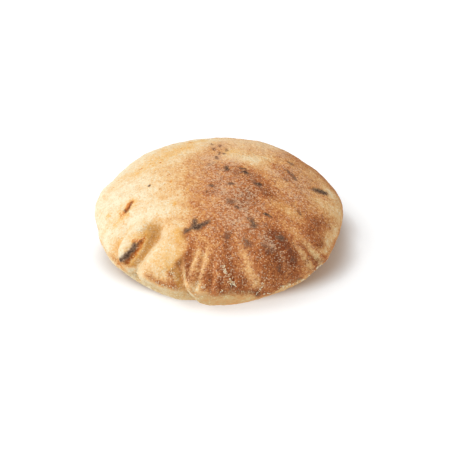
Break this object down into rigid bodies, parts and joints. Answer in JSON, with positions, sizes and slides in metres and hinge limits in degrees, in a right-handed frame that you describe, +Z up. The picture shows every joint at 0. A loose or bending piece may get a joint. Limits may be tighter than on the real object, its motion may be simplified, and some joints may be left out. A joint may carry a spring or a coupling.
{
  "type": "puccia",
  "caption": "Round puffed flat bread with a floury, scorched crust that sinks into folds along its front rim and rests on a flat base.",
  "frame": {"origin": "middle of the flat base that the loaf rests on", "axes": "+Z up through the crown, -Y out of the front, where the folds are deepest, +X to the right as seen from the front"},
  "size_m": [0.2006, 0.1986, 0.0655],
  "materials": {
    "crust": "dry matte bread crust, golden to brown, dusted with flour and marked with char"
  },
  "bodies": {
    "root": {"loaf": "crust"}
  },
  "joints": []
}
